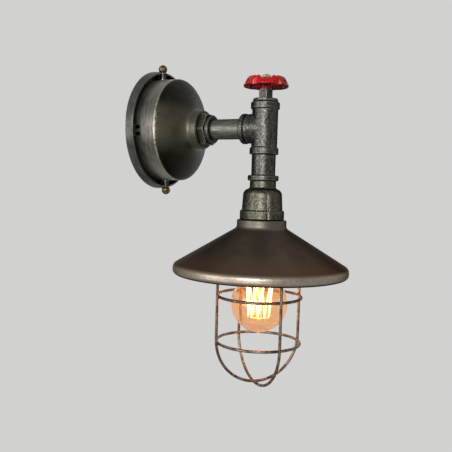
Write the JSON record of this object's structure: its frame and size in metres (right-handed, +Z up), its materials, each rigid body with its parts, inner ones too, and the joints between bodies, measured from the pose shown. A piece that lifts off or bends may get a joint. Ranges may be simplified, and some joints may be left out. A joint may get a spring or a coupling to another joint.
{
  "type": "industrial wall light",
  "caption": "Wall light built of pipe fittings with a bell canopy, handwheel, cone shade, wire guard and clear filament bulb.",
  "frame": {"origin": "middle of the wall plate's face on the wall, between its two screw holes", "axes": "+Y into the wall, so the lamp stands out along -Y; +Z up; +X to the right, seen from the room"},
  "size_m": [0.1812, 0.2186, 0.3377],
  "materials": {
    "plate": "satin, lightly worn",
    "spun_dark": "satin gunmetal with worn edges",
    "fitting": "rough, dry-brushed",
    "arm_steel": "satin",
    "bright_steel": "bright",
    "washer": "matte",
    "old_brass": "aged",
    "red_paint": "gloss with chips",
    "holder": "moulded",
    "insulator": "glazed",
    "guard": "dark bronze",
    "bulb_glass": "clear amber",
    "mount_glass": "clear",
    "cap_metal": "satin",
    "black_glass": "glossy",
    "filament": "glowing",
    "live": "smooth sleeve",
    "neutral": "smooth sleeve",
    "earth": "smooth sleeve"
  },
  "bodies": {
    "light": {"back_plate": "plate", "stud_brackets": "plate", "canopy_cover": "spun_dark", "shade": "spun_dark", "tee": "fitting", "top_plug": "fitting", "extension_socket": "fitting", "reducer": "fitting", "reducer_plug": "fitting", "arm_nut": "arm_steel", "arm_collar": "arm_steel", "inner_locknut": "arm_steel", "arm_pipe": "arm_steel", "canopy_studs": "bright_steel", "gland_nut": "bright_steel", "terminal_screws": "bright_steel", "neck_washer": "washer", "ball_nuts": "old_brass", "earth_screw": "old_brass", "nipple": "old_brass", "nipple_nut": "old_brass", "holder_shell": "old_brass", "holder_contact": "old_brass", "holder_cap": "holder", "holder_body": "holder", "holder_ring": "holder", "terminal_block": "insulator", "holder_insulator": "insulator", "guard_collar": "guard", "guard_hoop_front": "guard", "guard_hoop_side": "guard", "guard_ring_upper": "guard", "guard_ring_lower": "guard", "bulb_glass": "bulb_glass", "bulb_mount": "mount_glass", "bulb_cap": "cap_metal", "bulb_contact": "cap_metal", "bulb_insulator": "black_glass", "filament": "filament", "filament_hooks": "filament", "live_wire": "live", "neutral_wire": "neutral", "earth_wire": "earth"},
    "wheel": {"handwheel": "red_paint", "wheel_nut": "bright_steel", "stem": "bright_steel", "stem_clip": "bright_steel"}
  },
  "joints": [
    {"name": "wheel_turn", "type": "hinge", "parent": "light", "child": "wheel", "pos_m": [0, -0.128, 0.045], "axis": [0, 0, 1], "continuous": true}
  ]
}
